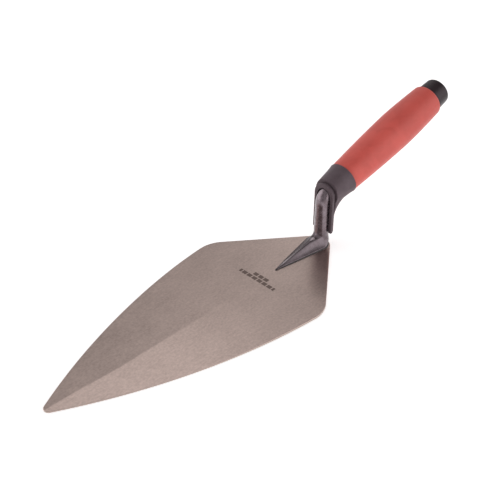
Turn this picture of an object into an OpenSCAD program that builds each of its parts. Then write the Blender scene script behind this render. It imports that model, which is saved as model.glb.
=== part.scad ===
// Brick trowel: a taper-ground kite-shaped blade, a forged cranked shank whose tang runs
// into a moulded handle with a finger guard, a soft grip sleeve and a plug-in butt cap.
// Millimetres. The origin is on the blade's underside, below the axis of the upright neck.
// The toe points along -X, the handle along +X, and the underside of the blade is at z = 0.

/* [Blade] */
// Length from the toe to the heel
blade_len = 280; // [254:0.5:305]
// Greatest width, across the shoulders
blade_w = 127; // [115:0.5:140]
// Thickness at the heel
blade_t = 1.8; // [1.6:0.1:3]
// Thickness on the ridge at the toe
toe_t = 1.3; // [1.2:0.1:1.5]
// Angle between each heel edge and the centre line
heel_angle = 38.2; // [34:0.1:42]
// Radius of the rounded heel
heel_r = 13.4; // [12:0.1:16]
// Radius of each rounded shoulder
shoulder_r = 26.5; // [20:0.5:34]
// Radius of each long edge
side_r = 500; // [430:5:650]
// Radius of the toe
toe_r = 5; // [3:0.5:8]
// How far the heel reaches behind the neck's axis
heel_back = 5.4; // [5:0.1:6.5]
// Fall of the ground facets from the ridge to the edges, in millimetres per millimetre
grind_fall = 0.016; // [0.008:0.001:0.018]
// Where the ridge begins, ahead of the neck's axis
ridge_start = 150; // [120:5:180]

/* [Shank] */
// Radius of the round neck
neck_r = 5.9; // [5.2:0.1:6.2]
// Radius of the crank's centre line
crank_r = 9; // [8:0.5:11]
// Length of the foot ahead of the neck's axis
foot_len = 58; // [45:1:70]
// Radius of the foot's rounded back
foot_r = 9.8; // [8.5:0.1:9.9]
// Height of the foot's upright rim
foot_rim = 1.4; // [1:0.1:2]
// Height of the foot's ridge where it meets the neck
foot_h = 6.5; // [5:0.1:8]
// Height at which the foot has become the round neck
foot_top = 12; // [10:0.5:12.5]
// Width of the weld bead around the foot
weld_w = 0.8; // [0.4:0.1:0.9]
// Length of the square tang
tang_len = 62; // [45:1:70]
// Side of the tang where it leaves the neck
tang_root = 8; // [7:0.1:8.2]
// Side of the tang at its end
tang_tip = 5; // [3.5:0.1:6]

/* [Handle] */
// Rise of the handle above the plane of the blade, in degrees
handle_tilt = 16.2; // [10:0.1:20]
// Height at which the handle's axis crosses the neck's axis
axis_h = 45.8; // [44:0.1:50]
// Where the grip begins, along the handle's axis
grip_start = 25; // [25:0.5:30]
// Length of the grip sleeve
grip_len = 115.5; // [105:0.5:130]
// Greatest radius of the grip
grip_r = 16.3; // [15:0.1:18]
// Radius of the grip where it meets the ferrule
grip_front_r = 13.4; // [12.8:0.1:14]
// Radius of the grip at its rear end
grip_back_r = 14.6; // [13.8:0.1:15]
// Radius of the core tube under the grip
tube_r = 11.4; // [11:0.1:11.6]
// Length of the butt cap outside the handle
cap_len = 16.7; // [12:0.1:22]
// Radius of the butt cap where it leaves the grip
cap_r = 12.9; // [12.2:0.1:13.2]

/* [Finger guard] */
// Height of the guard's lower end above the underside of the blade
guard_low = 12.8; // [12:0.1:18]
// Outer radius of the guard's trough
guard_r = 9.5; // [9.2:0.1:10.5]
// Gap between the neck and the guard
guard_gap = 1; // [0.5:0.1:1.2]
// Radius of the curve that the guard's centre line follows into the handle
guard_bend = 32; // [28:0.5:33]
// Thickness of the lip around the guard's opening
lip_t = 2.7; // [2:0.1:3.2]
// Outer radius of the lip
lip_r = 9.7; // [9.6:0.1:11]
// Radius of the ferrule's rim, in front of the grip
rim_r = 14; // [13.8:0.1:15]

/* [Hidden] */
$fn = 96;
steel = "#9d8f86";
dark_steel = "#4a4247";
black_plastic = "#3a3438";
red_grip = "#c0544c";
eps = 0.01;
overlap = 0.5;                        // how far joined shapes run into each other
crank_swell = 0.05;                   // the crank is a touch thicker than the rods
fit_gap = 0.05;                       // between parts that are pushed together
point_r = 1;                          // radius of the foot's point
ridge_r = 1.2;                        // radius of the foot's ridge
foot_back = heel_back - foot_r - weld_w - 0.2;   // centre of the foot's round back
grip_peak = 73;                       // from the grip's front to its greatest radius
grip_power = 1.5;                     // shape of the grip's swell
lip_front = 0.5;                      // front face of the lip, behind the neck's axis
lip_back = lip_front + lip_t;
groove_w = 0.8;                       // groove between the lip and the ferrule
groove_r = lip_r - 0.9;
grip_edge = 0.6;                      // rounded edge at the rear of the grip
ferrule_front_r = 11.3;               // at the neck's axis
ferrule_back_r = 13.4;                // where the raised rim begins
ferrule_start = -4;                   // begins ahead of its upright cut
rim_w = 2.4;                          // width of the raised rim
channel_r = neck_r + guard_gap;
channel_end = 12;                     // where the clearance round the crank ends
neck_end = 30;                        // where the round neck becomes the square tang
tang_end = neck_end + tang_len;
butt = grip_start + grip_len;         // rear face of core and sleeve
bore_r = 8.4;                         // hollow in the rear of the core
bore_start = tang_end + 6;
spigot_len = 16;
snap_at = 10;                         // snap bead, ahead of the rear face
snap_w = 1.6;
snap_h = 0.5;
cap_round = 2.5;
cap_taper = 0.7;                      // how much narrower the cap is at its rear edge
crank_turn = 90 - handle_tilt;
crank_tangent = crank_r * tan(crank_turn / 2);
crank_z = axis_h - crank_tangent;
cut = 200;                            // size of the blocks that trim a part

function polar(c, r, a) = [c.x + r * cos(a), c.y + r * sin(a)];
function arc(c, r, a0, a1, n) = [for (i = [0:n]) polar(c, r, a0 + (a1 - a0) * i / n)];
function mirrored(points) = [for (i = [len(points) - 1:-1:0]) [points[i].x, -points[i].y]];
function heading(from, to) = atan2(to.y - from.y, to.x - from.x);

// Centres of the outline's tangent arcs, on the +Y half of the blade
heel_c = [heel_back - heel_r, 0];
shoulder_y = blade_w / 2 - shoulder_r;
shoulder_c = [heel_c.x + (heel_r - shoulder_r - shoulder_y * cos(heel_angle)) / sin(heel_angle),
              shoulder_y];
toe_c = [heel_back - blade_len + toe_r, 0];
centre_gap = norm(shoulder_c - toe_c);
reach_shoulder = side_r - shoulder_r;
reach_toe = side_r - toe_r;
along_gap = (reach_toe * reach_toe - reach_shoulder * reach_shoulder + centre_gap * centre_gap)
            / (2 * centre_gap);
off_gap = sqrt(reach_toe * reach_toe - along_gap * along_gap);
gap_dir = (shoulder_c - toe_c) / centre_gap;
side_c = toe_c + along_gap * gap_dir + off_gap * [gap_dir.y, -gap_dir.x];
edge_normal = 90 - heel_angle;        // outward normal of the straight heel edge
half_outline = concat(
    arc(heel_c, heel_r, 0, edge_normal, 8),
    arc(shoulder_c, shoulder_r, edge_normal, heading(side_c, shoulder_c), 10),
    arc(side_c, side_r, heading(side_c, shoulder_c), heading(side_c, toe_c), 24),
    arc(toe_c, toe_r, heading(side_c, toe_c), 180, 8));

module along_handle(s = 0) {
    translate([0, 0, axis_h]) rotate([0, crank_turn, 0]) translate([0, 0, s]) children();
}

// Everything ahead of an upright plane across the trowel
module ahead_of(x) {
    translate([x - cut, -cut / 2, -cut / 2]) cube(cut);
}

module blade_outline() {
    polygon(concat(half_outline, mirrored(half_outline)));
}

// One flat ground facet: it falls from the ridge to the edge and along the ridge to the toe
module grind_cut(side) {
    ridge_fall = (blade_t - toe_t) / (blade_len - heel_back - ridge_start);
    multmatrix([[1, 0, 0, -ridge_start],
                [0, 1, 0, 0],
                [ridge_fall, -side * grind_fall, 1, blade_t],
                [0, 0, 0, 1]])
        translate([-cut, side > 0 ? 0 : -cut, 0]) cube([2 * cut, cut, cut / 10]);
}

module blade() {
    color(steel) difference() {
        linear_extrude(blade_t) blade_outline();
        grind_cut(1);
        grind_cut(-1);
    }
}

// Plan of the foot: a round back drawn out to a point
module foot_plan(grow = 0) {
    hull() {
        translate([foot_back, 0]) circle(foot_r + grow);
        translate([point_r - foot_len, 0]) circle(point_r + grow);
    }
}

// A ridged spearhead, and the root of the neck that rises from its back
module foot() {
    hull() {
        translate([0, 0, blade_t]) linear_extrude(foot_rim) foot_plan();
        translate([-neck_r - 2, 0, blade_t + foot_h - ridge_r]) sphere(ridge_r, $fn = 24);
    }
    hull() {
        translate([foot_back, 0, blade_t]) cylinder(h = foot_rim, r = foot_r - 1);
        translate([0, 0, foot_top]) cylinder(h = 0.5, r = neck_r);
    }
}

module crank(r) {
    translate([crank_r, 0, crank_z]) rotate([90, 0, 0]) rotate([0, 0, 180 - crank_turn])
        rotate_extrude(angle = crank_turn) translate([crank_r, 0]) circle(r);
}

// The square tapered end that is driven into the handle
module tang(grow = 0) {
    corner = sqrt(2) / 2;
    along_handle(neck_end - overlap) rotate([0, 0, 45])
        cylinder(h = tang_len + overlap + grow, r1 = (tang_root + 2 * grow) * corner,
                 r2 = (tang_tip + 2 * grow) * corner, $fn = 4);
}

module shank() {
    color(dark_steel) union() {
        foot();
        translate([0, 0, foot_top]) cylinder(h = crank_z + overlap - foot_top, r = neck_r);
        crank(neck_r + crank_swell);
        along_handle(crank_tangent - overlap)
            cylinder(h = neck_end + overlap - crank_tangent, r = neck_r);
        tang();
    }
}

module foot_weld() {
    color(dark_steel) translate([0, 0, blade_t]) difference() {
        hull() {
            linear_extrude(0.1) foot_plan(weld_w);
            linear_extrude(weld_w) foot_plan(0.1);
        }
        translate([0, 0, -eps]) linear_extrude(foot_rim + 1) foot_plan();
    }
}

// Three raised rings key the soft sleeve to the core
key_rings = [for (i = [0:2]) grip_len * (0.2 + 0.3 * i)];
key_w = 4;
key_h = 0.9;
tube_profile = concat(
    [[tube_r, 0]],
    [for (s = key_rings) each [[tube_r, s], [tube_r + key_h, s + 1],
                               [tube_r + key_h, s + key_w - 1], [tube_r, s + key_w]]],
    [[tube_r, grip_len]]);

function grip_radius(s) =
    s < grip_peak
    ? grip_r - (grip_r - grip_front_r) * pow((grip_peak - s) / grip_peak, grip_power)
    : grip_r - (grip_r - grip_back_r)
      * pow((s - grip_peak) / (grip_len - grip_peak), grip_power);
grip_steps = 20;
grip_profile = concat(
    [for (i = [0:grip_steps]) let (s = (grip_len - grip_edge) * i / grip_steps)
        [grip_radius(s), s]],
    [[grip_back_r - grip_edge, grip_len]]);

module core_tube() {
    along_handle(grip_start) rotate_extrude()
        polygon(concat([[0, 0]], tube_profile, [[0, grip_len]]));
}

// The ferrule tapers from its raised rim towards the neck
module ferrule() {
    rim_start = grip_start - rim_w;
    taper = (ferrule_back_r - ferrule_front_r) / rim_start;
    difference() {
        along_handle() rotate_extrude() polygon([
            [0, ferrule_start], [ferrule_front_r + taper * ferrule_start, ferrule_start],
            [ferrule_back_r, rim_start], [rim_r - 0.2, rim_start + 0.8],
            [rim_r, grip_start - 0.8], [rim_r - 0.3, grip_start], [0, grip_start]]);
        ahead_of(lip_back + groove_w);
    }
}

// An upright plate across the trowel, shaped like an arch on two legs
module arch(r, x0, x1) {
    translate([x0, 0, 0]) rotate([90, 0, 90]) linear_extrude(x1 - x0) {
        translate([0, axis_h + 0.8]) circle(r);
        translate([-r, guard_low]) square([2 * r, axis_h + 0.8 - guard_low]);
    }
}

// A tube of growing radius, upright around the neck and then bent into the ferrule's rim
bend_tangent = guard_bend * tan(crank_turn / 2);
bend_z = axis_h - bend_tangent;
bend_steps = 14;
ring_sides = 36;
function bend_radius(t) = guard_r + (ferrule_back_r - guard_r) * t * t * (3 - 2 * t);
function ring(c, turn, r) = [for (k = [0:ring_sides - 1])
    let (u = r * cos(360 * k / ring_sides), v = r * sin(360 * k / ring_sides))
    c + [u * cos(turn), v, -u * sin(turn)]];
guard_rings = concat(
    [ring([0, 0, guard_low], 0, guard_r)],
    [for (i = [0:bend_steps]) let (turn = crank_turn * i / bend_steps)
        ring([guard_bend * (1 - cos(turn)), 0, bend_z + guard_bend * sin(turn)], turn,
             bend_radius(i / bend_steps))]);

module guard_tube() {
    last = len(guard_rings) - 1;
    difference() {
        polyhedron(
            points = [for (r = guard_rings) each r],
            faces = concat(
                [[for (k = [0:ring_sides - 1]) k]],
                [for (i = [0:last - 1], k = [0:ring_sides - 1])
                    let (a = i * ring_sides, b = a + ring_sides, n = (k + 1) % ring_sides)
                    each [[a + k, b + k, b + n], [a + k, b + n, a + n]]],
                [[for (k = [ring_sides - 1:-1:0]) last * ring_sides + k]]));
        ahead_of(lip_back + groove_w);
    }
}

// The space that the neck and crank take inside guard and ferrule
module neck_channel() {
    translate([0, 0, -eps]) cylinder(h = crank_z + eps, r = channel_r);
    crank(channel_r);
    along_handle(crank_tangent) cylinder(h = channel_end - crank_tangent, r = channel_r);
    along_handle(crank_tangent)
        cylinder(h = neck_end + fit_gap - crank_tangent, r = neck_r + fit_gap);
    tang(fit_gap);
}

module handle_core() {
    color(black_plastic) difference() {
        union() {
            core_tube();
            ferrule();
            guard_tube();
            arch(lip_r, lip_front, lip_back);
            arch(groove_r, lip_back - 1, lip_back + groove_w + 1);
        }
        neck_channel();
        along_handle(bore_start) cylinder(h = butt - bore_start + eps, r = bore_r);
        along_handle(butt - snap_at - snap_w)
            cylinder(h = snap_w, r = bore_r + snap_h);
    }
}

module grip_sleeve() {
    tube_back = [for (i = [len(tube_profile) - 1:-1:0]) tube_profile[i]];
    color(red_grip) along_handle(grip_start) rotate_extrude()
        polygon(concat(grip_profile, tube_back));
}

module butt_cap() {
    spigot_r = bore_r - fit_gap;
    color(black_plastic) along_handle(butt) rotate_extrude() polygon(concat(
        [[0, -spigot_len], [spigot_r - 1, -spigot_len], [spigot_r, 1 - spigot_len],
         [spigot_r, -snap_at - snap_w + 0.1], [spigot_r + snap_h, -snap_at - snap_w / 2],
         [spigot_r, -snap_at - 0.1], [spigot_r, 0], [cap_r, 0]],
        arc([cap_r - cap_taper - cap_round, cap_len - cap_round], cap_round, 0, 90, 8),
        [[0, cap_len]]));
}

blade();
shank();
foot_weld();
handle_core();
grip_sleeve();
butt_cap();
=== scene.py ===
import math

import bmesh
import bpy
from mathutils import Matrix, Vector, noise


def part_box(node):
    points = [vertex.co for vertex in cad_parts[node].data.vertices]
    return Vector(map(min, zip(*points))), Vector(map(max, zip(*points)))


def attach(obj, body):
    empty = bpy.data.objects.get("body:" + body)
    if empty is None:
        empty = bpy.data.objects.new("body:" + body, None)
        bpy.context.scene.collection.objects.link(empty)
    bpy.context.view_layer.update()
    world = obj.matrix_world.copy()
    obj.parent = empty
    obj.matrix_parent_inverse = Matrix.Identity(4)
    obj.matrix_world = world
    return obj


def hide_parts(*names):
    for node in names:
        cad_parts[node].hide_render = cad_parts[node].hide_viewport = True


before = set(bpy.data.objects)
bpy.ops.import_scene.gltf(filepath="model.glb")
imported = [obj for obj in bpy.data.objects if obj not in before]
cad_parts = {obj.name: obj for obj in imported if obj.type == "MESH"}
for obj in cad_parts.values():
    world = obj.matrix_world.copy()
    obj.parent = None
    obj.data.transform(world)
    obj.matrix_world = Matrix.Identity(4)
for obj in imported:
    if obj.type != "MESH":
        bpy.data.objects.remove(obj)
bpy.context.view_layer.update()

MM = 0.001                        # the meshes below are built in millimetres


def box_mm(node):
    """Lowest and highest corner of a CAD node, in millimetres."""
    low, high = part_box(node)
    return low / MM, high / MM


# Blade: its length, width and thickness are those of the CAD node
BLADE_LOW, BLADE_HIGH = box_mm("blade")
BLADE_LEN = BLADE_HIGH.x - BLADE_LOW.x
BLADE_W = BLADE_HIGH.y - BLADE_LOW.y
BLADE_T = BLADE_HIGH.z
HEEL_BACK = BLADE_HIGH.x          # the heel reaches this far behind the neck's axis
TOE_T = 1.3                       # thickness on the ridge at the toe
HEEL_ANGLE = 38.2                 # between each heel edge and the centre line
HEEL_R = 13.4                     # radii of the outline, from heel to toe
SHOULDER_R = 26.5
SIDE_R = 500
TOE_R = 4
HEEL_STEPS = 10                   # steps along it, from heel to toe
HEEL_EDGE_STEPS = 40
SHOULDER_STEPS = 16
SIDE_STEPS = 110
TOE_STEPS = 12
GRIND_FALL = 0.023                # fall of the ground facets, per millimetre across
RIDGE_START = 76                  # the facets begin here, ahead of the neck's axis
RIDGE_FULL = 215                  # and have their full fall from here
FACET_PAINTED_SHADE = 0.10                # painted highlight and shade: one facet is painted lighter, the other darker, by this share
FACET_TURN = 2                    # how fast their shades change, per millimetre
RIDGE_DRIFT = 2.9                 # the ridge runs this far to the -Y side
RIDGE_DRIFT_END = 70              # and comes back to the middle over this length, to the toe
TOP_ROUND = 0.35                  # rounded edge of the upper face
LOW_ROUND = 0.2                   # and of the underside
ROUND_MID = 0.3                   # the middle of a rounding cuts this share off its corner
HEEL_ROLL = 0.13                  # the heel edges roll down by this much
HEEL_ROLL_W = 16                  # over this width
BLADE_INSET = 3                   # width of the closely meshed border
BORDER_LINES = (1, 2.2)           # mesh lines in it, from the outline
TOP_COLUMNS = 56                  # faces across the upper face, inside the border
LOW_COLUMNS = 8                   # and across the underside
COLUMN_POWER = 1.25               # draws the columns together at the ridge
STAMP_X = 78.5                    # the stamp's low edge, ahead of the neck's axis
STAMP_BRICK = 5.4                 # length of its bricks
STAMP_COURSE = 4.6                # height of its courses
STAMP_JOINT = 0.55
STAMP_LOWER = 7                   # bricks in its lower course
STAMP_UPPER = 3                   # and in the upper one
STAMP_DEPTH = 0.04

# Shank
NECK_R = 6.05
NECK_BASE_R = 6.3                 # the neck is slightly stouter at its foot
CRANK_R = 9                       # radius of the crank's centre line
FOOT_LEN = 56.8                   # the foot's point, ahead of the neck's axis
FOOT_R = 9.8                      # radius of the foot's round back
FOOT_MARGIN = 1                   # between its back and the blade's heel
FOOT_SKEW = 0.036                 # the foot points to the -Y side with this slope
FOOT_RIM = 0.9                    # height of its upright rim
FOOT_EDGE_IN = 0.3                # the rim's upper edge is broken,
FOOT_EDGE_DOWN = 0.2              # by this much in and down
RIDGE_H = 7.9                     # height of the foot's ridge near the neck
RIDGE_END = 10.5                  # where the ridge turns up into the neck
RIDGE_STEPS = 30
TURN_RISE = 0.6                   # the corner of that turn, above the ridge's end
TURN_STEPS = 10
FOOT_TOP = 13.2                   # the foot has become the round neck here
FLANK_HOLLOW = 0.14               # the foot's flanks are hollow by this share
FOOT_FLARE = 3.4                  # how sharply the foot spreads below the neck
FOOT_SHIFT = 1.6                  # how late its middle moves off the neck's axis
POINT_R = 0.5                     # radius of the foot's point
RIDGE_R = 3.5                     # radius of its ridge where it meets the neck
SUNK = 0.8                        # how far the foot reaches into the blade
NECK_STEPS = 13
CRANK_STEPS = 20
NECK_END = 30                     # the round neck becomes the square tang here
NECK_EDGE_IN = 0.5                # and its edge is broken
NECK_EDGE_ALONG = 0.6
TANG_LEN = 62
TANG_ROOT = 8                     # side of the tang at the neck
TANG_TIP = 5                      # and at its end
TANG_CORNER = 8                   # the higher, the sharper the tang's corners
TANG_START = 0.1                  # behind the neck's last ring
TANG_STEPS = 11
TANG_EDGE_IN = 0.7                # the end's edge is broken
TANG_EDGE_ALONG = 0.8
NECK_FADE = 0.6                   # how fast the ridge's painted highlight and shade fade towards the neck
POINT_FADE = 0.08                 # and towards the foot's point
POINT_LEN = 10                    # over this length
FAR_FADE = 0.6                    # the far flank's painted shade sets in over this width
FAR_FADE_UP = 2                   # and fades over this height, up to the neck

# Weld bead
WELD_R = 0.7
WELD_OUT = 0.1                    # its middle runs this far outside the foot and above the blade
WELD_RIPPLE = 0.13                # its size varies by this share
WELD_TAPER = 15                   # it thins over this length, to the foot's point
WELD_THIN = 0.5                   # where it has this share of its size
RIPPLE_SCALE = 0.7                # uneven lumps, per millimetre
RIPPLE_PITCH = 2.6                # and regular ones, in radians per millimetre
RIPPLE_SHARE = 0.5                # as strong as this against the uneven ones
RIPPLE_LEVEL = 3                  # slice of the noise that is used
WELD_SIDES = 10
WELD_NOSE_STEPS = 7               # steps along its point, its straights and its back
WELD_SIDE_STEPS = 80
WELD_BACK_STEPS = 40
WELD_MIDDLE = -12                 # any place inside the loop

# Handle
HANDLE_TILT = 16.2                # rise above the plane of the blade
AXIS_H = 45.8                     # the handle's axis crosses the neck's axis here
GRIP_START = 25.6                 # from there, along the handle's axis
GRIP_LEN = 114.9
GRIP_R = 16.3                     # greatest radius of the grip
GRIP_FRONT_R = 13.4
GRIP_BACK_R = 14.6
GRIP_PEAK = 72.4                  # from the grip's front to its greatest radius
GRIP_POWER = 1.5                  # shape of the grip's swell
GRIP_EDGE = 0.45                  # rounding of its ends
GRIP_STEPS = 90
GRIP_EDGE_STEPS = 5
GRIP_FIT = 0.02                   # between the grip and its tube
TUBE_R = 11.4                     # the core's tube under the grip
KEY_W = 4                         # width of the rings on it
KEY_SLOPE = 1                     # width of their slanting flanks
KEY_H = 0.9                       # their height
KEY_FIRST = 0.2                   # the first of them, as a share of the grip's length
KEY_APART = 0.3                   # and from each to the next
BORE_R = 8.4                      # hollow rear of the tube
BORE_START = 6                    # behind the tang's end
SOCKET_END = 1                    # the tang's socket ends this far behind the tang
SOCKET_FIT = 0.2                  # between the round neck and the socket
SPIGOT_LEN = 16                   # the cap's plug inside the tube
SNAP_AT = 10.8                    # its snap bead, ahead of the butt
SNAP_W = 0.7                      # half the bead's width
SNAP_H = 0.5
CAP_LEN = 16.68
CAP_R = 12.88
CAP_EDGE = 1.2                    # the cap has its full radius from here
CAP_TAPER = 0.7                   # the cap narrows by this much
CAP_ROUND = 2.5                   # rounding of the cap's end
CAP_SIDE_STEPS = 6
CAP_ROUND_STEPS = 10
SEAM = 0.05                       # gap between the cap and the butt

# Finger guard and ferrule
GUARD_LOW = 12.8                  # lower end of the guard
GUARD_R = 9.5
GUARD_GAP = 0.75                  # between the neck and the guard
GUARD_BEND = 31                   # radius of the curve that its centre line follows
GUARD_SWELL = 2.2                 # how late the guard swells into the ferrule
GUARD_STEPS = 32
LIP_FRONT = 0.5                   # front face of the lip, behind the neck's axis
LIP_T = 2.7
LIP_R = 9.85
LIP_RISE = 0.8                    # centre of the lip's arch above the handle's axis
LIP_ROUND = 0.4                   # rounding of its front edge
ARCH_STEPS = 48
GROOVE_W = 0.9                    # groove between the lip and the ferrule
GROOVE_DEPTH = 1.0
FERRULE_START = -4                # ahead of its upright cut
FERRULE_FRONT_R = 11.3            # at the neck's axis
FERRULE_BACK_R = 13.4             # the guard's radius where it ends inside the ferrule
FERRULE_TAPER = 0.085             # widens by this much, per millimetre
FLARE_START = 20.5                # then flares to its rim
FLARE_ROUND = 3
RIM_R = 13.9
RIM_W = 0.4                       # width of that rim
RIM_ROUND = 0.3
CHANNEL_END = 12                  # the clearance round the crank ends here
CHANNEL_STEPS = 16
CHANNEL_SHOULDER = 0.3            # length of the step down to the socket
PAST = 5                          # the channel's cutter reaches this far past the plastic
VOXEL = 0.27                      # mesh size of the moulded guard and ferrule
SOFTEN_STEPS = 5                  # rounds of smoothing after it

CRANK_TURN = 90 - HANDLE_TILT
CRANK_TANGENT = CRANK_R * math.tan(math.radians(CRANK_TURN / 2))
CRANK_Z = AXIS_H - CRANK_TANGENT
BUTT = GRIP_START + GRIP_LEN
TANG_END = NECK_END + TANG_LEN
FOOT_BACK = HEEL_BACK - FOOT_R - FOOT_MARGIN  # centre of the foot's round back
CHANNEL_R = NECK_R + GUARD_GAP
SOCKET_R = NECK_R + SOCKET_FIT
AXIS_POINT = 0.01                 # radius that stands for the axis in a turned profile


# ---- Mesh helpers ----

def add_mesh(name, verts, faces):
    """A new object, in millimetres until it is placed."""
    mesh = bpy.data.meshes.new(name)
    mesh.from_pydata([tuple(v) for v in verts], [], faces)
    work = bmesh.new()
    work.from_mesh(mesh)
    bmesh.ops.recalc_face_normals(work, faces=work.faces)
    work.to_mesh(mesh)
    work.free()
    obj = bpy.data.objects.new(name, mesh)
    bpy.context.scene.collection.objects.link(obj)
    return obj


def place(obj, node, material, sharp=None):
    """Scales a finished mesh to metres and lets it stand for its CAD node."""
    obj.data.transform(Matrix.Scale(MM, 4))
    obj.data.polygons.foreach_set("use_smooth", [True] * len(obj.data.polygons))
    if sharp is not None:
        obj.data.set_sharp_from_angle(angle=math.radians(sharp))
    obj.data.materials.clear()
    obj.data.materials.append(material)
    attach(obj, "root")
    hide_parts(node)


def loft(rings, around=False):
    """Verts and faces of a skin over equal rings. It is capped, or closed into a hoop."""
    count = len(rings[0])
    verts = [p for ring in rings for p in ring]
    faces = []
    for i in range(len(rings) if around else len(rings) - 1):
        a = i * count
        b = (i + 1) % len(rings) * count
        for k in range(count):
            n = (k + 1) % count
            faces.append((a + k, b + k, b + n, a + n))
    if not around:
        faces.append(tuple(range(count)))
        faces.append(tuple(range(len(verts) - count, len(verts))))
    return verts, faces


def on_handle(s, r, turn):
    """A point at distance s along the handle's axis, r off it, turned from its lower side."""
    t = math.radians(CRANK_TURN)
    axis = Vector((math.sin(t), 0, math.cos(t)))
    under = Vector((math.cos(t), 0, -math.sin(t)))
    side = Vector((0, 1, 0))
    return Vector((0, 0, AXIS_H)) + s * axis + r * (math.cos(turn) * under + math.sin(turn) * side)


def lathe(profile, sides=128, around=False):
    """Verts and faces of a profile of (radius, distance) pairs turned about the handle's axis."""
    turns = [2 * math.pi * k / sides for k in range(sides)]
    return loft([[on_handle(s, r, t) for t in turns] for r, s in profile], around)


def curve(a, corner, b, f):
    """A point at share f of the curve from a to b that a corner draws towards itself."""
    return (1 - f) ** 2 * a + 2 * f * (1 - f) * corner + f * f * b


def rounded(corners, steps=5):
    """A line through (radius, distance, rounding) corners, with each corner rounded off."""
    line = []
    for i, (r, s, size) in enumerate(corners):
        here = Vector((r, s))
        if size == 0 or i in (0, len(corners) - 1):
            line.append(here)
            continue
        back = Vector(corners[i - 1][:2]) - here
        ahead = Vector(corners[i + 1][:2]) - here
        start = here + back.normalized() * min(size, back.length * 0.5)
        end = here + ahead.normalized() * min(size, ahead.length * 0.5)
        line += [curve(start, here, end, k / steps) for k in range(steps + 1)]
    return [tuple(p) for p in line]


def paint(obj, name, values):
    """Gives every vertex a value that the object's material can read."""
    obj.data.attributes.new(name, "FLOAT", "POINT").data.foreach_set("value", values)


def keep_shape(obj):
    """Makes an object's modifiers part of its mesh."""
    graph = bpy.context.evaluated_depsgraph_get()
    mesh = bpy.data.meshes.new_from_object(obj.evaluated_get(graph))
    obj.modifiers.clear()
    obj.data = mesh


def combine(obj, other, operation):
    """Cuts other from obj, or joins it to obj."""
    change = obj.modifiers.new(operation, "BOOLEAN")
    change.operation = operation
    change.solver = "EXACT"
    change.object = other
    keep_shape(obj)
    bpy.data.objects.remove(other)


def mix(a, b, f):
    """From a to b as f goes from 0 to 1."""
    return a + (b - a) * f


def smooth(f):
    """From 0 to 1 as f does, level at both ends."""
    f = min(max(f, 0), 1)
    return f * f * (3 - 2 * f)


# ---- Blade ----

def heading(a, b):
    """The direction from a to b in the plane of the blade, in degrees."""
    return math.degrees(math.atan2(b.y - a.y, b.x - a.x))


def arc(centre, radius, start, end, steps):
    """Points along an arc between two directions."""
    angles = [math.radians(mix(start, end, i / steps)) for i in range(steps + 1)]
    return [centre + radius * Vector((math.cos(a), math.sin(a))) for a in angles]


def blade_arcs():
    """The four tangent arcs of the blade's +Y side: centre, radius, first and last angle, steps."""
    edge_normal = 90 - HEEL_ANGLE
    slope = math.radians(HEEL_ANGLE)
    heel = Vector((HEEL_BACK - HEEL_R, 0))
    rise = BLADE_W / 2 - SHOULDER_R
    run = (HEEL_R - SHOULDER_R - rise * math.cos(slope)) / math.sin(slope)
    shoulder = Vector((heel.x + run, rise))
    toe = Vector((HEEL_BACK - BLADE_LEN + TOE_R, 0))
    gap = (shoulder - toe).length
    along = ((SIDE_R - TOE_R) ** 2 - (SIDE_R - SHOULDER_R) ** 2 + gap ** 2) / (2 * gap)
    off = math.sqrt((SIDE_R - TOE_R) ** 2 - along ** 2)
    ahead = (shoulder - toe) / gap
    side = toe + along * ahead + off * Vector((ahead.y, -ahead.x))
    turn_in = heading(side, shoulder)
    turn_out = heading(side, toe)
    return [(heel, HEEL_R, 0, edge_normal, HEEL_STEPS),
            (shoulder, SHOULDER_R, edge_normal, turn_in, SHOULDER_STEPS),
            (side, SIDE_R, turn_in, turn_out, SIDE_STEPS),
            (toe, TOE_R, turn_out, 180, TOE_STEPS)]


BLADE_ARCS = blade_arcs()


def half_outline(inset):
    """The +Y half of the outline, from heel to toe, moved inwards."""
    parts = [arc(c, r - inset, a0, a1, n) for c, r, a0, a1, n in BLADE_ARCS]
    heel_end, shoulder_start = parts[0][-1], parts[1][0]
    straight = [heel_end.lerp(shoulder_start, i / HEEL_EDGE_STEPS) for i in range(1, HEEL_EDGE_STEPS)]
    return parts[0] + straight + parts[1] + parts[2][1:] + parts[3][1:]


def ridge_line(x):
    """Where the hand-ground ridge runs, a little off the centre line behind the toe."""
    return -RIDGE_DRIFT * smooth((x + BLADE_LEN - HEEL_BACK) / RIDGE_DRIFT_END)


def ground(x):
    """How far the ridge has come in: 0 on the flat behind, 1 towards the toe."""
    return smooth((-x - RIDGE_START) / (RIDGE_FULL - RIDGE_START))


def facet_painted_light(x, y):
    """For the painted highlight and shade: 1 on the ground facet of the -Y side, -1 on the other, fading
    out with the ridge.
    """
    return ground(x) * min(1, max(-1, FACET_TURN * (ridge_line(x) - y)))


def blade_top(x, y):
    """Height of the upper face: flat behind, two ground facets ahead, heel edges rolled down."""
    along = (-x - RIDGE_START) / (BLADE_LEN - HEEL_BACK - RIDGE_START)
    ridge_fall = (BLADE_T - TOE_T) * smooth(along / 2) * 2
    facet = -ridge_fall - GRIND_FALL * ground(x) * abs(y - ridge_line(x))
    normal = math.radians(90 - HEEL_ANGLE)
    heel = BLADE_ARCS[0][0]
    inside = HEEL_R - (x - heel.x) * math.cos(normal) - abs(y) * math.sin(normal)
    roll = HEEL_ROLL * max(0, 1 - inside / HEEL_ROLL_W) ** 2
    return BLADE_T + facet - roll


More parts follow.
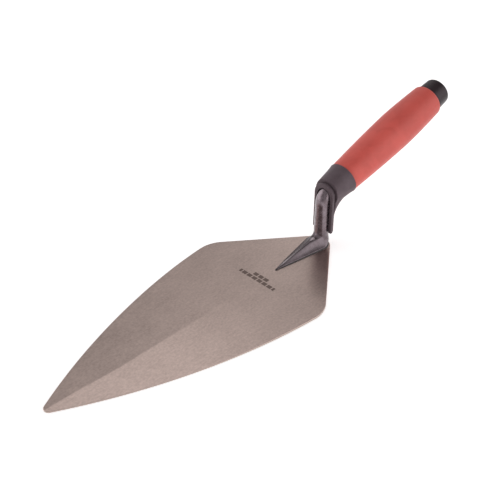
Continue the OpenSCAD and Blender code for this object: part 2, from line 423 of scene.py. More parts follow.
def build_blade():
    """A skin of mirrored rings, with a fine border and a grid of columns on either face."""
    drop = [(0, TOP_ROUND)]
    for i in range(1, 5):
        a = math.radians(90 * i / 4)
        drop.append((TOP_ROUND * (1 - math.cos(a)), TOP_ROUND * (1 - math.sin(a))))
    drop += [(inset, 0) for inset in (*BORDER_LINES, BLADE_INSET)]
    low = [(BLADE_INSET, 0), (LOW_ROUND, 0), (LOW_ROUND * ROUND_MID, LOW_ROUND * ROUND_MID),
           (0, LOW_ROUND)]
    verts = []
    faces = []
    rings = []
    for inset, height in [(i, None) for i, _ in reversed(drop)] + [(i, z) for i, z in reversed(low)]:
        half = half_outline(inset)
        fall = dict(drop).get(inset, 0)
        upper = []
        lower = []
        for i, p in enumerate(half):
            for side, y in ((upper, p.y), (lower, -p.y)):
                if side is upper or 0 < i < len(half) - 1:
                    side.append(len(verts))
                    verts.append((p.x, y, blade_top(p.x, y) - fall if height is None else height))
        rings.append((upper, [upper[0]] + lower + [upper[-1]]))
    for (up_a, down_a), (up_b, down_b) in zip(rings, rings[1:]):
        for i in range(len(up_a) - 1):
            faces.append((up_a[i], up_a[i + 1], up_b[i + 1], up_b[i]))
            faces.append((down_a[i], down_b[i], down_b[i + 1], down_a[i + 1]))
    for (upper, lower), columns, top in ((rings[0], TOP_COLUMNS, True), (rings[-1], LOW_COLUMNS, False)):
        half = half_outline(BLADE_INSET)
        rows = []
        for i in range(1, len(half) - 1):
            row = [upper[i]]
            for k in range(1, columns):
                f = 1 - 2 * k / columns
                share = abs(f) ** COLUMN_POWER
                y = half[i].y * math.copysign(share, f) + ridge_line(half[i].x) * (1 - share)
                row.append(len(verts))
                verts.append((half[i].x, y, blade_top(half[i].x, y) if top else 0))
            rows.append(row + [lower[i]])
        for a, b in zip(rows, rows[1:]):
            for k in range(columns):
                faces.append((a[k], a[k + 1], b[k + 1], b[k]))
        for k in range(columns):
            faces.append((upper[0], rows[0][k + 1], rows[0][k]))
            faces.append((upper[-1], rows[-1][k], rows[-1][k + 1]))
    blade = add_mesh("blade_ground", verts, faces)
    border = (len(drop) + len(low)) * (2 * len(half) - 2)
    # painted shade on the rounded edges, toning down their reflection
    edge_shade = [smooth(1 - inset / TOP_ROUND) for inset, _ in drop[::-1] + low[::-1]
             for _ in range(2 * len(half) - 2)]
    paint(blade, "edge", edge_shade + [0] * (len(verts) - border))
    # painted highlight on the -Y facet, painted shade on the other
    paint(blade, "facet", [facet_painted_light(x, y) if z > LOW_ROUND else 0 for x, y, z in verts])
    return blade


# ---- Shank ----

def teardrop(angle, radius, reach, tip_r):
    """Distance from the centre of a circle to the line round it and a small circle ahead."""
    gap = reach - tip_r
    if gap <= radius - tip_r:
        return radius
    tangent = math.acos((radius - tip_r) / gap)
    shoulder = math.atan2(tip_r * math.sin(tangent), gap + tip_r * math.cos(tangent))
    angle = abs(angle)
    if angle < shoulder:
        return gap * math.cos(angle) + math.sqrt(tip_r ** 2 - (gap * math.sin(angle)) ** 2)
    if angle < tangent:
        return radius / math.cos(tangent - angle)
    return radius


# Directions round the shank, closer together at its front
FRONT_TURNS = [math.pi * (k / 40) ** 1.5 for k in range(41)]
SHANK_TURNS = FRONT_TURNS + [-t for t in reversed(FRONT_TURNS[1:-1])]


def skewed(p):
    """The hand-forged foot points a little to the -Y side."""
    p.y -= FOOT_SKEW * max(0, -p.x)
    return p


def foot_ring(tip, height, spread, tip_r, hollow=0.0):
    """One level of the foot, with its point at x = -tip and its flanks drawn in."""
    centre = FOOT_BACK * spread ** FOOT_SHIFT
    radius = mix(NECK_BASE_R, FOOT_R, spread)
    ring = []
    for turn in SHANK_TURNS:
        r = teardrop(turn, radius, tip + centre, tip_r)
        ahead = r * math.cos(turn)
        draw_in = 1 - hollow * smooth(ahead / radius / 2)
        ring.append(skewed(Vector((centre - ahead, r * math.sin(turn) * draw_in, height))))
    return ring


def rod_ring(centre, turn, reach):
    """A ring across the shank's path, which has turned by that angle from upright."""
    front = Vector((-math.cos(turn), 0, math.sin(turn)))
    side = Vector((0, 1, 0))
    return [centre + reach(t) * (math.cos(t) * front + math.sin(t) * side) for t in SHANK_TURNS]


def square_reach(side):
    """Reach of a square with eased corners, by direction."""
    power = TANG_CORNER
    return lambda t: side / 2 * (abs(math.cos(t)) ** power + abs(math.sin(t)) ** power) ** (-1 / power)


def bent(radius, low, turn):
    """A point on a centre line that is upright up to height low and then bends back."""
    return Vector((radius * (1 - math.cos(turn)), 0, low + radius * math.sin(turn)))


def build_shank():
    """The forging from the foot on the blade, up the neck and round the crank, to the tang's end."""
    rim_top = BLADE_T + FOOT_RIM
    turn_up = BLADE_T + RIDGE_H
    rings = [foot_ring(FOOT_LEN, z, 1, POINT_R) for z in (BLADE_T - SUNK, rim_top - FOOT_EDGE_DOWN)]
    line = []
    for i in range(RIDGE_STEPS + 1):
        f = i / RIDGE_STEPS
        line.append((mix(FOOT_LEN - FOOT_EDGE_IN, RIDGE_END, f), mix(rim_top, turn_up, f)))
    start = Vector(line[-1])
    corner = Vector((NECK_BASE_R, turn_up + TURN_RISE))
    end = Vector((NECK_BASE_R, FOOT_TOP))
    line += [tuple(curve(start, corner, end, k / TURN_STEPS)) for k in range(1, TURN_STEPS + 1)]
    for tip, height in line:
        rise = (height - rim_top) / (FOOT_TOP - rim_top)
        hollow = FLANK_HOLLOW * math.sin(math.pi * min(1, (height - rim_top) / RIDGE_H))
        tip_r = mix(POINT_R, RIDGE_R, rise ** 2)
        rings.append(foot_ring(tip, height, (1 - rise) ** FOOT_FLARE, tip_r, hollow))
    for i in range(1, NECK_STEPS + 1):
        radius = mix(NECK_BASE_R, NECK_R, i / NECK_STEPS)
        rings.append(rod_ring(Vector((0, 0, mix(FOOT_TOP, CRANK_Z, i / NECK_STEPS))), 0, lambda t: radius))
    for i in range(1, CRANK_STEPS + 1):
        turn = math.radians(CRANK_TURN * i / CRANK_STEPS)
        rings.append(rod_ring(bent(CRANK_R, CRANK_Z, turn), turn, lambda t: NECK_R))
    turn = math.radians(CRANK_TURN)
    for i in range(1, 6):
        s = mix(CRANK_TANGENT, NECK_END - NECK_EDGE_ALONG, i / 5)
        rings.append(rod_ring(on_handle(s, 0, 0), turn, lambda t: NECK_R))
    rings.append(rod_ring(on_handle(NECK_END, 0, 0), turn, lambda t: NECK_R - NECK_EDGE_IN))
    for i in range(TANG_STEPS + 1):
        side = mix(TANG_ROOT, TANG_TIP, i / TANG_STEPS)
        s = mix(NECK_END + TANG_START, TANG_END - TANG_EDGE_ALONG, i / TANG_STEPS)
        rings.append(rod_ring(on_handle(s, 0, 0), turn, square_reach(side)))
    rings.append(rod_ring(on_handle(TANG_END, 0, 0), turn, square_reach(TANG_TIP - 2 * TANG_EDGE_IN)))
    shank = add_mesh("shank_forged", *loft(rings))
    paint_foot(shank, [p for ring in rings for p in ring], rim_top, turn_up)
    return shank


def paint_foot(shank, places, rim_top, turn_up):
    """Paints how far each place lies below the ridge, for its painted highlight and shade, and how much it
    is on the far flank, for that flank's painted shade.

    The first value grows behind the ridge's end and near the point, so that the painted highlight and shade
    fade.
    """
    slope = RIDGE_H / (FOOT_LEN - RIDGE_END)
    drops = []
    far = []
    for p in places:
        ridge = min(turn_up, rim_top + slope * (p.x + FOOT_LEN))
        fade = max(0, p.x + RIDGE_END) * NECK_FADE + max(0, POINT_LEN - FOOT_LEN - p.x) * POINT_FADE
        drops.append(abs(ridge - p.z) + fade)
        far.append(smooth(p.y / FAR_FADE) * smooth((FOOT_TOP - p.z) / FAR_FADE_UP))
    paint(shank, "drop", drops)
    paint(shank, "far_flank_shade", far)


def ahead_of(a):
    """A direction in the plane of the blade, turned by a from straight ahead."""
    return Vector((-math.cos(a), math.sin(a)))


def weld_path():
    """The bead's loop round the foot: from the point along +Y to the back and round again."""
    radius = FOOT_R + WELD_OUT
    gap = FOOT_LEN + FOOT_BACK - POINT_R
    tangent = math.acos((radius - POINT_R) / gap)
    nose = Vector((FOOT_BACK - gap, 0))
    back = Vector((FOOT_BACK, 0))
    start = nose + POINT_R * ahead_of(tangent)
    end = back + radius * ahead_of(tangent)
    half = [nose + POINT_R * ahead_of(tangent * k / WELD_NOSE_STEPS) for k in range(WELD_NOSE_STEPS)]
    half += [start.lerp(end, k / WELD_SIDE_STEPS) for k in range(WELD_SIDE_STEPS)]
    half += [back + radius * ahead_of(mix(tangent, math.pi, k / WELD_BACK_STEPS))
             for k in range(WELD_BACK_STEPS + 1)]
    return half + [Vector((p.x, -p.y)) for p in reversed(half[1:-1])]


def build_weld():
    """A bead laid around the foot, slightly uneven, as a hand-laid bead is."""
    path = weld_path()
    rings = []
    for i, p in enumerate(path):
        along = (path[(i + 1) % len(path)] - path[i - 1]).normalized()
        out = Vector((-along.y, along.x))
        if out.dot(p - Vector((WELD_MIDDLE, 0))) < 0:
            out = -out
        lumps = noise.noise(Vector((p.x * RIPPLE_SCALE, p.y * RIPPLE_SCALE, RIPPLE_LEVEL)))
        ripple = lumps + RIPPLE_SHARE * math.sin(p.x * RIPPLE_PITCH)
        taper = mix(WELD_THIN, 1, smooth((p.x + FOOT_LEN) / WELD_TAPER))
        size = WELD_R * (1 + WELD_RIPPLE * ripple) * taper
        ring = []
        for k in range(WELD_SIDES):
            a = 2 * math.pi * k / WELD_SIDES
            side = p + out * size * math.cos(a)
            ring.append(skewed(Vector((side.x, side.y, BLADE_T + WELD_OUT + size * math.sin(a)))))
        rings.append(ring)
    return add_mesh("foot_weld_bead", *loft(rings, around=True))


# ---- Handle ----

def path_ring(centre, turn, radius, sides=72):
    """A circle across the guard's centre line, which has turned by that angle from upright."""
    across = Vector((math.cos(turn), 0, -math.sin(turn)))
    turns = [2 * math.pi * k / sides for k in range(sides)]
    return [centre + radius * (math.cos(t) * across + math.sin(t) * Vector((0, 1, 0))) for t in turns]


def guard_tube():
    """Upright round the neck, then bent and swelling into the ferrule."""
    bend_z = AXIS_H - GUARD_BEND * math.tan(math.radians(CRANK_TURN / 2))
    rings = [path_ring(Vector((0, 0, GUARD_LOW)), 0, GUARD_R)]
    for i in range(GUARD_STEPS + 1):
        f = i / GUARD_STEPS
        turn = math.radians(CRANK_TURN * f)
        radius = mix(GUARD_R, FERRULE_BACK_R, f ** GUARD_SWELL)
        rings.append(path_ring(bent(GUARD_BEND, bend_z, turn), turn, radius))
    return add_mesh("guard", *loft(rings))


def block(low, high):
    """A box between two corners."""
    corners = [(x, y, z) for x in (low[0], high[0]) for y in (low[1], high[1]) for z in (low[2], high[2])]
    return add_mesh("block", corners, [(0, 1, 3, 2), (4, 6, 7, 5), (0, 4, 5, 1),
                                       (2, 3, 7, 6), (0, 2, 6, 4), (1, 5, 7, 3)])


def arch(radius, front, back, top_round=0.0):
    """An upright plate across the trowel, an arch on two legs, with a rounded front edge."""
    centre_z = AXIS_H + LIP_RISE
    rings = []
    for inset, x in ((top_round, front), (top_round * ROUND_MID, front + top_round * ROUND_MID),
                     (0, front + top_round), (0, back)):
        r = radius - inset
        outline = [Vector((x, -r, GUARD_LOW + inset))]
        for k in range(ARCH_STEPS + 1):
            a = math.pi * (1 - k / ARCH_STEPS)
            outline.append(Vector((x, r * math.cos(a), centre_z + r * math.sin(a))))
        outline.append(Vector((x, r, GUARD_LOW + inset)))
        rings.append(outline)
    if top_round == 0:
        rings = rings[2:]
    return add_mesh("arch", *loft(rings))


def channel_cutter():
    """The space that the neck takes inside guard and ferrule, and the tang's socket."""
    rings = [path_ring(Vector((0, 0, z)), 0, CHANNEL_R) for z in (GUARD_LOW - PAST, CRANK_Z)]
    for i in range(1, CHANNEL_STEPS + 1):
        turn = math.radians(CRANK_TURN * i / CHANNEL_STEPS)
        rings.append(path_ring(bent(CRANK_R, CRANK_Z, turn), turn, CHANNEL_R))
    for s, r in ((CHANNEL_END, CHANNEL_R), (CHANNEL_END + CHANNEL_SHOULDER, SOCKET_R),
                 (GRIP_START + PAST, SOCKET_R)):
        rings.append(path_ring(on_handle(s, 0, 0), turn, r))
    return add_mesh("channel", *loft(rings))


def ferrule():
    """A cone that flares to a rim in front of the grip."""
    corners = [(AXIS_POINT, FERRULE_START, 0)]
    for s, size in ((FERRULE_START, 0), (FLARE_START, FLARE_ROUND)):
        corners.append((FERRULE_FRONT_R + FERRULE_TAPER * s, s, size))
    corners += [(RIM_R, GRIP_START - RIM_W, 0), (RIM_R, GRIP_START, RIM_ROUND), (AXIS_POINT, GRIP_START, 0)]
    return add_mesh("ferrule", *lathe(rounded(corners)))


def build_core():
    """The moulded guard with its lip and groove, and the ferrule with its rim."""
    core = guard_tube()
    combine(core, ferrule(), "UNION")
    ahead = LIP_FRONT + LIP_T + GROOVE_W
    # All that lies ahead of the groove goes, then the groove's bed and the lip are put on
    combine(core, block((-60, -60, -20), (ahead, 60, 120)), "DIFFERENCE")
    combine(core, arch(LIP_R - GROOVE_DEPTH, ahead - GROOVE_W - 0.5, ahead + 1), "UNION")
    combine(core, arch(LIP_R, LIP_FRONT, LIP_FRONT + LIP_T, LIP_ROUND), "UNION")
    combine(core, channel_cutter(), "DIFFERENCE")
    remesh = core.modifiers.new("moulded", "REMESH")
    remesh.mode = "VOXEL"
    remesh.voxel_size = VOXEL
    soften = core.modifiers.new("soften", "SMOOTH")
    soften.factor = 0.5
    soften.iterations = SOFTEN_STEPS
    keep_shape(core)
    core.name = "handle_core_moulded"
    return core


def key_profile():
    """Outer line of the tube under the grip, with its three raised rings."""
    line = [(TUBE_R, 0)]
    for i in range(3):
        s = GRIP_LEN * (KEY_FIRST + KEY_APART * i)
        line += [(TUBE_R, s), (TUBE_R + KEY_H, s + KEY_SLOPE),
                 (TUBE_R + KEY_H, s + KEY_W - KEY_SLOPE), (TUBE_R, s + KEY_W)]
    return line + [(TUBE_R, GRIP_LEN)]


def core_tube():
    """The tube that the grip sits on, with the tang's socket in front and a bore behind."""
    wall = TANG_END + SOCKET_END, TANG_END + BORE_START
    front = GRIP_START - 1
    outer = [(TUBE_R, front)] + [(r, GRIP_START + s) for r, s in key_profile()]
    bore = [(BORE_R, BUTT), (BORE_R, wall[1]), (AXIS_POINT, wall[1])]
    socket = [(AXIS_POINT, wall[0]), (SOCKET_R, wall[0]), (SOCKET_R, front)]
    return add_mesh("tube", *lathe(outer + bore + socket, 96, around=True))


def grip_radius(s):
    """Radius of the grip at distance s from its front."""
    if s < GRIP_PEAK:
        return GRIP_R - (GRIP_R - GRIP_FRONT_R) * ((GRIP_PEAK - s) / GRIP_PEAK) ** GRIP_POWER
    fall = (s - GRIP_PEAK) / (GRIP_LEN - GRIP_PEAK)
    return GRIP_R - (GRIP_R - GRIP_BACK_R) * fall ** GRIP_POWER


def quarter(steps):
    """The cut at a rounded corner, across and along, from its start to its end."""
    angles = [math.radians(90 * k / steps) for k in range(1, steps + 1)]
    return [(1 - math.cos(a), 1 - math.sin(a)) for a in angles]


def build_grip():
    """A sleeve that swells in the hand and fits over the rings of its tube."""
    swell = []
    for i in range(GRIP_STEPS + 1):
        s = mix(GRIP_EDGE, GRIP_LEN - GRIP_EDGE, i / GRIP_STEPS)
        swell.append((grip_radius(s), s))
    back = []
    front = []
    for across, along in quarter(GRIP_EDGE_STEPS):
        back.append((GRIP_BACK_R - GRIP_EDGE * across, GRIP_LEN - GRIP_EDGE * along))
        front.append((GRIP_FRONT_R - GRIP_EDGE * across, GRIP_EDGE * along))
    inner = [(r + GRIP_FIT, s) for r, s in reversed(key_profile())]
    profile = front[::-1] + swell + back + inner
    return add_mesh("grip_sleeve_soft", *lathe([(r, GRIP_START + s) for r, s in profile], 144, around=True))


def build_cap():
    """A tapered cap with a rounded end, and its plug with a snap bead."""
    spigot = BORE_R - SEAM
    profile = rounded([(AXIS_POINT, -SPIGOT_LEN, 0), (spigot - 1, -SPIGOT_LEN, 0),
                       (spigot, 1 - SPIGOT_LEN, 0.3), (spigot, -SNAP_AT - SNAP_W, 0),
                       (spigot + SNAP_H, -SNAP_AT, 0.2), (spigot, SNAP_W - SNAP_AT, 0),
                       (spigot, SEAM, 0), (CAP_R - 0.1, SEAM, 0.3), (CAP_R, CAP_EDGE, 0.6)])
    for i in range(1, CAP_SIDE_STEPS + 1):
        f = i / CAP_SIDE_STEPS
        profile.append((CAP_R - CAP_TAPER * f, mix(CAP_EDGE, CAP_LEN - CAP_ROUND, f)))
    end_r = CAP_R - CAP_TAPER
    profile += [(end_r - CAP_ROUND * across, CAP_LEN - CAP_ROUND * along)
                for across, along in quarter(CAP_ROUND_STEPS)]
    profile += [((end_r - CAP_ROUND) * f, CAP_LEN) for f in (0.75, 0.5, 0.25, 0.001)]
    return add_mesh("butt_cap_moulded", *lathe([(r, BUTT + s) for r, s in profile], 96))


# ---- Materials ----

STEEL_DARK = (0.43, 0.336, 0.302)
STEEL_LIGHT = (0.57, 0.448, 0.404)
# painted shade on the blade's rounded edges, toning down their reflection
STEEL_EDGE_SHADE = (0.5, 0.4, 0.36)
STEEL_ROUGH = (0.28, 0.31)
STAMP_COLOUR = (0.10, 0.07, 0.06)
FORGED_DARK = (0.12, 0.083, 0.094)
FORGED_LIGHT = (0.25, 0.198, 0.224)
FORGED_ROUGH = (0.2, 0.34)
FORGED_WORN = (0.30, 0.26, 0.27)  # rubbed edges
FORGED_SCALE_AND_SHADE = (0.06, 0.042, 0.048)  # scale on the foot, and painted shade beside its ridge
FORGED_CREST_HIGHLIGHT = (0.55, 0.47, 0.5)  # the ridge itself, a painted highlight
FORGED_FAR_SHADE = (0.05, 0.036, 0.042)  # painted shade on the foot's far flank
FORGED_COAT = 0.8                 # an oily film
FAR_COAT = 0.1
# the weld's burnt steel, painted darker still as the shade along the foot's lower edge
BURNT_AND_SHADE_DARK = (0.012, 0.009, 0.01)
BURNT_AND_SHADE_LIGHT = (0.032, 0.025, 0.027)
BURNT_ROUGH = (0.45, 0.65)
MATT_DARK = (0.073, 0.052, 0.060)
MATT_LIGHT = (0.096, 0.072, 0.082)
MATT_ROUGH = (0.46, 0.58)
GLOSS_DARK = (0.008, 0.003, 0.005)
GLOSS_LIGHT = (0.012, 0.006, 0.008)
GLOSS_ROUGH = (0.26, 0.36)
PLASTIC_TINT = (1, 0.84, 0.9)
PLASTIC_WEAR = 1.7                # worn edges are this many times as light
RUBBER_DARK = (0.54, 0.070, 0.052)
RUBBER_LIGHT = (0.62, 0.086, 0.065)
RUBBER_BUTT_SHADE = (0.44, 0.04, 0.025)  # painted shade: darker, deeper red towards the butt
RUBBER_DEEP_START = 0.06          # in metres behind the neck's axis
RUBBER_DEEP_FULL = 0.12
RUBBER_DEEP_SHARE = 0.35
RUBBER_ROUGH = (0.45, 0.58)


def map_range(tree, source, low, high, start, end):
    """A node that maps source, from start to end, on low to high."""
    node = tree.nodes.new("ShaderNodeMapRange")
    for socket, value in zip(("From Min", "From Max", "To Min", "To Max"), (start, end, low, high)):
        node.inputs[socket].default_value = value
    tree.links.new(source, node.inputs["Value"])
    return node


class Nodes:
    """Short names for building a node material."""

    def __init__(self, name):
        self.material = bpy.data.materials.new(name)
        self.material.use_nodes = True
        self.tree = self.material.node_tree
        self.shader = self.tree.nodes["Principled BSDF"]
        self.place = self.tree.nodes.new("ShaderNodeTexCoord").outputs["Object"]

    def link(self, source, socket):
        """Feeds a source into a socket of another node."""
        self.tree.links.new(source, socket)

    def noise(self, size, detail, rough, stretch=(1, 1, 1), wobble=0.0):
        """Noise whose patches are about this many millimetres across."""
        mapping = self.tree.nodes.new("ShaderNodeMapping")
        mapping.inputs["Scale"].default_value = [1 / (size * MM * k) for k in stretch]
        self.link(self.place, mapping.inputs["Vector"])
        node = self.tree.nodes.new("ShaderNodeTexNoise")
        node.inputs["Scale"].default_value = 1
        node.inputs["Detail"].default_value = detail
        node.inputs["Roughness"].default_value = rough
        node.inputs["Distortion"].default_value = wobble
        self.link(mapping.outputs["Vector"], node.inputs["Vector"])
        return node.outputs["Fac"]

    def span(self, source, low, high, start=0.3, end=0.7):
        """Source from start to end mapped on low to high."""
        return map_range(self.tree, source, low, high, start, end).outputs["Result"]

    def math(self, operation, a, b):
        """A node for arithmetic with sources or plain numbers."""
        node = self.tree.nodes.new("ShaderNodeMath")
        node.operation = operation
        for socket, value in zip(node.inputs, (a, b)):
            if isinstance(value, (int, float)):
                socket.default_value = value
            else:
                self.link(value, socket)
        return node.outputs[0]

    def blend(self, factor, a, b):
        """Colour a where factor is 0, b where it is 1."""
        node = self.tree.nodes.new("ShaderNodeMix")
        node.data_type = "RGBA"
        self.link(factor, node.inputs["Factor"])
        for name, value in (("A", a), ("B", b)):
            socket = [s for s in node.inputs if s.name == name and s.type == "RGBA"][0]
            if isinstance(value, tuple):
                socket.default_value = (*value, 1)
            else:
                self.link(value, socket)
        return [s for s in node.outputs if s.type == "RGBA"][0]

    def weighted(self, *parts):
        """The sum of (source, weight) pairs."""
        total = 0
        for source, weight in parts:
            part = self.math("MULTIPLY", source, weight)
            total = self.math("ADD", total, part) if total else part
        return total

    def painted(self, name):
        """A value that paint() gave to the vertices."""
        node = self.tree.nodes.new("ShaderNodeAttribute")
        node.attribute_name = name
        return node.outputs["Fac"]

    def along(self, axis):
        """The place along the X, Y or Z axis, in metres."""
        axes = self.tree.nodes.new("ShaderNodeSeparateXYZ")
        self.link(self.place, axes.inputs["Vector"])
        return axes.outputs[axis]

    def edges(self, start, end):
        """1 along the sharp outer edges, 0 elsewhere."""
        node = self.tree.nodes.new("ShaderNodeNewGeometry")
        return self.span(node.outputs["Pointiness"], 0, 1, start, end)

    def brick_stamp(self):
        """1 on the bricks of a small stepped stack, a generic stamp in place of a maker's."""
        mapping = self.tree.nodes.new("ShaderNodeMapping")
        mapping.inputs["Scale"].default_value = (1 / MM, 1 / MM, 1 / MM)
        mapping.inputs["Rotation"].default_value = (0, 0, math.radians(90))
        mapping.inputs["Location"].default_value = (STAMP_BRICK / 2, STAMP_X, 0)
        self.link(self.place, mapping.inputs["Vector"])
        axes = self.tree.nodes.new("ShaderNodeSeparateXYZ")
        self.link(mapping.outputs["Vector"], axes.inputs["Vector"])
        across = self.math("ABSOLUTE", self.math("SUBTRACT", axes.outputs["X"], STAMP_BRICK / 2), 0)
        along = axes.outputs["Y"]
        upper = self.math("GREATER_THAN", along, STAMP_COURSE)
        step = (STAMP_LOWER - STAMP_UPPER) / 2 * STAMP_BRICK
        reach = self.math("SUBTRACT", STAMP_LOWER / 2 * STAMP_BRICK, self.math("MULTIPLY", upper, step))
        panel = self.math("MULTIPLY", self.math("LESS_THAN", across, reach),
                          self.math("MULTIPLY", self.math("GREATER_THAN", along, 0),
                                    self.math("LESS_THAN", along, 2 * STAMP_COURSE)))
        bricks = self.tree.nodes.new("ShaderNodeTexBrick")
        for socket, value in (("Scale", 1), ("Mortar Size", STAMP_JOINT), ("Mortar Smooth", 0.2),
                              ("Brick Width", STAMP_BRICK), ("Row Height", STAMP_COURSE)):
            bricks.inputs[socket].default_value = value
        self.link(mapping.outputs["Vector"], bricks.inputs["Vector"])
        return self.math("MULTIPLY", panel, self.math("SUBTRACT", 1, bricks.outputs["Fac"]))

    def bump(self, height, depth):
        """Height from 0 to 1 becomes relief of this many millimetres."""
        node = self.tree.nodes.new("ShaderNodeBump")
        node.inputs["Strength"].default_value = 1
        node.inputs["Distance"].default_value = depth * MM
        self.link(height, node.inputs["Height"])
        self.link(node.outputs["Normal"], self.shader.inputs["Normal"])

    def set(self, **values):
        """Gives the shader's inputs sources, or plain values."""
        for name, value in values.items():
            socket = self.shader.inputs[name.replace("_", " ")]
            if isinstance(value, (int, float, tuple)):
                socket.default_value = (*value, 1) if isinstance(value, tuple) else value
            else:
                self.link(value, socket)


def ground_steel():
    """Fine, uneven grinding marks, a painted highlight and shade on the two facets, painted shade on the
    rounded edge and a dark, sunk stamp.
    """
    m = Nodes("ground_steel")
    grain = m.noise(1.7, 2, 0.5)
    streaks = m.noise(1.7, 2, 0.5, stretch=(3.5, 1, 1), wobble=1.2)
    clouds = m.noise(26, 3, 0.5)
    tone = m.span(m.weighted((grain, 0.45), (streaks, 0.3), (clouds, 0.25)), 0, 1, 0.36, 0.64)
    # painted highlight and shade: a lighter copy of the steel for the -Y facet, a darker copy for the other
    sides = []
    for shade in (1 - FACET_PAINTED_SHADE, 1 + FACET_PAINTED_SHADE):
        dark = tuple(c * shade for c in STEEL_DARK)
        light = tuple(c * shade for c in STEEL_LIGHT)
        sides.append(m.blend(tone, dark, light))
    colour = m.blend(m.span(m.painted("facet"), 0, 1, -1, 1), *sides)
    # painted shade on the rounded edges, toning down their reflection
    colour = m.blend(m.painted("edge"), colour, STEEL_EDGE_SHADE)
    stamp = m.brick_stamp()
    colour = m.blend(m.math("MULTIPLY", stamp, 0.8), colour, STAMP_COLOUR)
    m.set(Base_Color=colour, Metallic=1.0, Roughness=m.span(clouds, *STEEL_ROUGH))
    marks = m.math("MULTIPLY", m.math("ADD", grain, streaks), 0.1)
    m.bump(m.math("SUBTRACT", marks, stamp), STAMP_DEPTH)
    return m.material


def forged_steel(name, dark, light, rough_range, foot=False):
    """Blotchy dark steel with an oily film and rubbed edges. The foot also gets scale, a painted highlight
    on its ridge, and painted shade beside the ridge and on its far flank.
    """
    m = Nodes(name)
    scale = m.noise(3.5, 4, 0.55)
    grain = m.noise(0.6, 3, 0.6)
    colour = m.blend(m.span(scale, 0, 1), dark, light)
    colour = m.blend(m.edges(0.56, 0.7), colour, FORGED_WORN)
    rough = m.span(scale, *rough_range)
    coat = FORGED_COAT
    if foot:
        drop = m.painted("drop")
        far = m.painted("far_flank_shade")
        low_down = m.span(m.along("Z"), 1, 0, (BLADE_T + RIDGE_H - 3) * MM, (FOOT_TOP + 2) * MM)
        # scale over the foot, darkened further in a band beside the ridge as painted shade
        beside = m.span(drop, 0.95, 0.6, 0.8, 2.8)
        colour = m.blend(m.math("MULTIPLY", low_down, beside), colour, FORGED_SCALE_AND_SHADE)
        # painted highlight along the ridge
        colour = m.blend(m.span(drop, 0.9, 0, 0.15, 0.7), colour, FORGED_CREST_HIGHLIGHT)
        # painted shade on the far flank
        colour = m.blend(m.math("MULTIPLY", far, 0.6), colour, FORGED_FAR_SHADE)
        rough = m.math("ADD", rough, m.math("MULTIPLY", far, 0.2))
        coat = m.span(far, FORGED_COAT, FAR_COAT)
    m.set(Base_Color=colour, Metallic=0.8, Roughness=rough)
    m.set(Coat_Weight=coat, Coat_Roughness=0.15)
    m.bump(m.math("ADD", scale, m.math("MULTIPLY", grain, 0.2)), 0.08)
    return m.material


def moulded_plastic(name, dark, light, rough_range, shine):
    """Black plastic with a fine grain and slightly paler worn edges."""
    m = Nodes(name)
    grain = m.noise(0.35, 3, 0.6)
    clouds = m.noise(9, 3, 0.5)
    colour = m.blend(m.span(clouds, 0, 1), dark, light)
    colour = m.blend(m.edges(0.55, 0.68), colour, tuple(PLASTIC_WEAR * c for c in light))
    m.set(Base_Color=colour, Roughness=m.span(grain, *rough_range), Specular_IOR_Level=shine)
    m.set(Specular_Tint=PLASTIC_TINT)
    m.bump(grain, 0.03)
    return m.material


def soft_rubber():
    """Red, slightly velvety rubber with a fine grain, and painted shade towards the butt."""
    m = Nodes("soft_rubber")
    grain = m.noise(0.5, 4, 0.65)
    clouds = m.noise(14, 3, 0.5, wobble=0.5)
    tone = m.span(m.weighted((clouds, 0.7), (grain, 0.3)), 0, 1, 0.4, 0.6)
    # painted shade, growing towards the butt
    butt_shade = m.span(m.along("X"), 0, RUBBER_DEEP_SHARE, RUBBER_DEEP_START, RUBBER_DEEP_FULL)
    colour = m.blend(butt_shade, m.blend(tone, RUBBER_DARK, RUBBER_LIGHT), RUBBER_BUTT_SHADE)
    m.set(Base_Color=colour, Roughness=m.span(grain, *RUBBER_ROUGH), Specular_IOR_Level=0.5)
    m.set(Sheen_Weight=0.25, Sheen_Roughness=0.35)
    m.bump(grain, 0.05)
    return m.material


# ---- Scene ----

# Angles are in degrees, all other measures in metres
CAMERA_AZIMUTH = -45              # the photograph's view, matched to the tool's outline
CAMERA_ELEVATION = 35.4
CAMERA_AIM = Vector((-0.04985, 0.03407, 0))
CAMERA_DISTANCE = 0.6997
CAMERA_LENS = 60.5
CAMERA_SENSOR = 36
FLOOR_SIZE = 80
FLOOR_DROP = 0.0002               # the floor lies this far below the blade
FLOOR_GLOW = 0.5
LIGHT_AIM = Vector((-0.06, 0, 0.03))
LIGHT_DISTANCE = 1.8
DOME_COLOUR = (1, 0.985, 0.99, 1)
DOME_AZIMUTH = 30                 # one end of the axis with the dome's bright ends
DOME_DIM = 0.42                   # the dome's strength away from that axis
DOME_BRIGHT = 1.75                # and at its ends
DOME_FADE = (0.5, 0.85)           # cosines off the axis between which it brightens


def towards(azimuth, elevation):
    """The direction from the object to a viewer; azimuth 0 looks along +Y."""
    a = math.radians(azimuth)
    e = math.radians(elevation)
    return Vector((math.sin(a) * math.cos(e), -math.cos(a) * math.cos(e), math.sin(e)))


def add_camera():
    """The camera at the photograph's viewing angle."""
    camera = bpy.data.objects.new("camera", bpy.data.cameras.new("camera"))
    bpy.context.scene.collection.objects.link(camera)
    back = towards(CAMERA_AZIMUTH, CAMERA_ELEVATION)
    camera.location = CAMERA_AIM + CAMERA_DISTANCE * back
    camera.rotation_euler = (-back).to_track_quat("-Z", "Y").to_euler()
    camera.data.sensor_width = CAMERA_SENSOR
    camera.data.lens = CAMERA_LENS
    bpy.context.scene.camera = camera


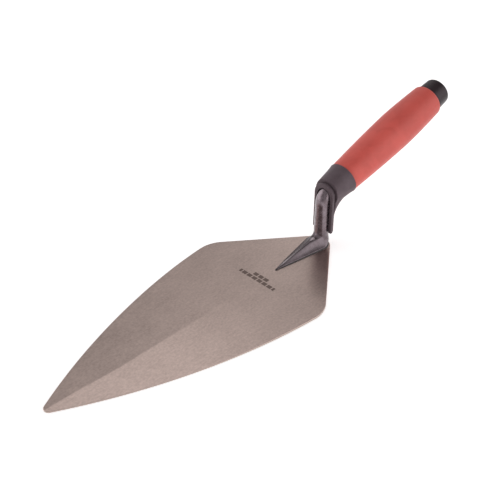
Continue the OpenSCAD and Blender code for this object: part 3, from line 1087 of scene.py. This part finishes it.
def soft_light(name, azimuth, elevation, width, height, radiance, roll=0):
    """A rectangular light, sized in metres, that the camera doesn't see."""
    light = bpy.data.lights.new(name, "AREA")
    light.shape = "RECTANGLE"
    light.size = width
    light.size_y = height
    light.energy = radiance * math.pi * width * height
    obj = bpy.data.objects.new(name, light)
    bpy.context.scene.collection.objects.link(obj)
    back = towards(azimuth, elevation)
    obj.location = LIGHT_AIM + LIGHT_DISTANCE * back
    obj.visible_camera = False
    aim = back.to_track_quat("Z", "Y").to_matrix().to_4x4()
    obj.rotation_euler = (aim @ Matrix.Rotation(math.radians(roll), 4, "Z")).to_euler()


def add_dome():
    """A dim white dome, brighter towards both ends of a level axis across the view."""
    world = bpy.data.worlds.new("studio")
    world.use_nodes = True
    tree = world.node_tree
    background = tree.nodes["Background"]
    background.inputs["Color"].default_value = DOME_COLOUR
    direction = tree.nodes.new("ShaderNodeTexCoord").outputs["Generated"]
    side = tree.nodes.new("ShaderNodeVectorMath")
    side.operation = "DOT_PRODUCT"
    side.inputs[1].default_value = towards(DOME_AZIMUTH, 0)
    tree.links.new(direction, side.inputs[0])
    reach = tree.nodes.new("ShaderNodeMath")
    reach.operation = "ABSOLUTE"
    tree.links.new(side.outputs["Value"], reach.inputs[0])
    glow = map_range(tree, reach.outputs[0], DOME_DIM, DOME_BRIGHT, *DOME_FADE)
    glow.interpolation_type = "SMOOTHSTEP"
    tree.links.new(glow.outputs["Result"], background.inputs["Strength"])
    bpy.context.scene.world = world


def add_studio():
    """A plain pale floor under the dome, with two soft lights behind the tool."""
    bpy.ops.mesh.primitive_plane_add(size=FLOOR_SIZE, location=(0, 0, -FLOOR_DROP))
    floor = bpy.context.object
    floor.name = "floor"
    m = Nodes("pale_floor")
    tone = m.noise(40, 3, 0.5)
    colour = m.blend(m.span(tone, 0, 1), (0.84, 0.84, 0.84), (0.86, 0.86, 0.86))
    m.set(Base_Color=colour, Roughness=0.9, Specular_IOR_Level=0.1)
    m.set(Emission_Color=(1.0, 0.99, 0.985), Emission_Strength=FLOOR_GLOW)
    floor.data.materials.append(m.material)
    add_dome()
    soft_light("back_softbox", 150, 58, 1.03, 0.88, 0.6, roll=35)
    soft_light("low_softbox", 114, 28, 1.2, 0.6, 0.5)
    bpy.context.scene.view_settings.view_transform = "Standard"


add_camera()
add_studio()

FORGED = forged_steel("forged_steel", FORGED_DARK, FORGED_LIGHT, FORGED_ROUGH, foot=True)
# the weld bead: burnt steel with painted shade
BURNT = forged_steel("weld_steel", BURNT_AND_SHADE_DARK, BURNT_AND_SHADE_LIGHT, BURNT_ROUGH)
MATT_BLACK = moulded_plastic("matt_black_plastic", MATT_DARK, MATT_LIGHT, MATT_ROUGH, 0.45)
GLOSS_BLACK = moulded_plastic("gloss_black_plastic", GLOSS_DARK, GLOSS_LIGHT, GLOSS_ROUGH, 0.35)
place(build_blade(), "blade", ground_steel())
place(build_shank(), "shank", FORGED)
place(build_weld(), "foot_weld", BURNT)
core = build_core()
combine(core, core_tube(), "UNION")       # joined last, so that its rings stay crisp
place(core, "handle_core", MATT_BLACK)
place(build_grip(), "grip_sleeve", soft_rubber(), 50)
place(build_cap(), "butt_cap", GLOSS_BLACK, 50)
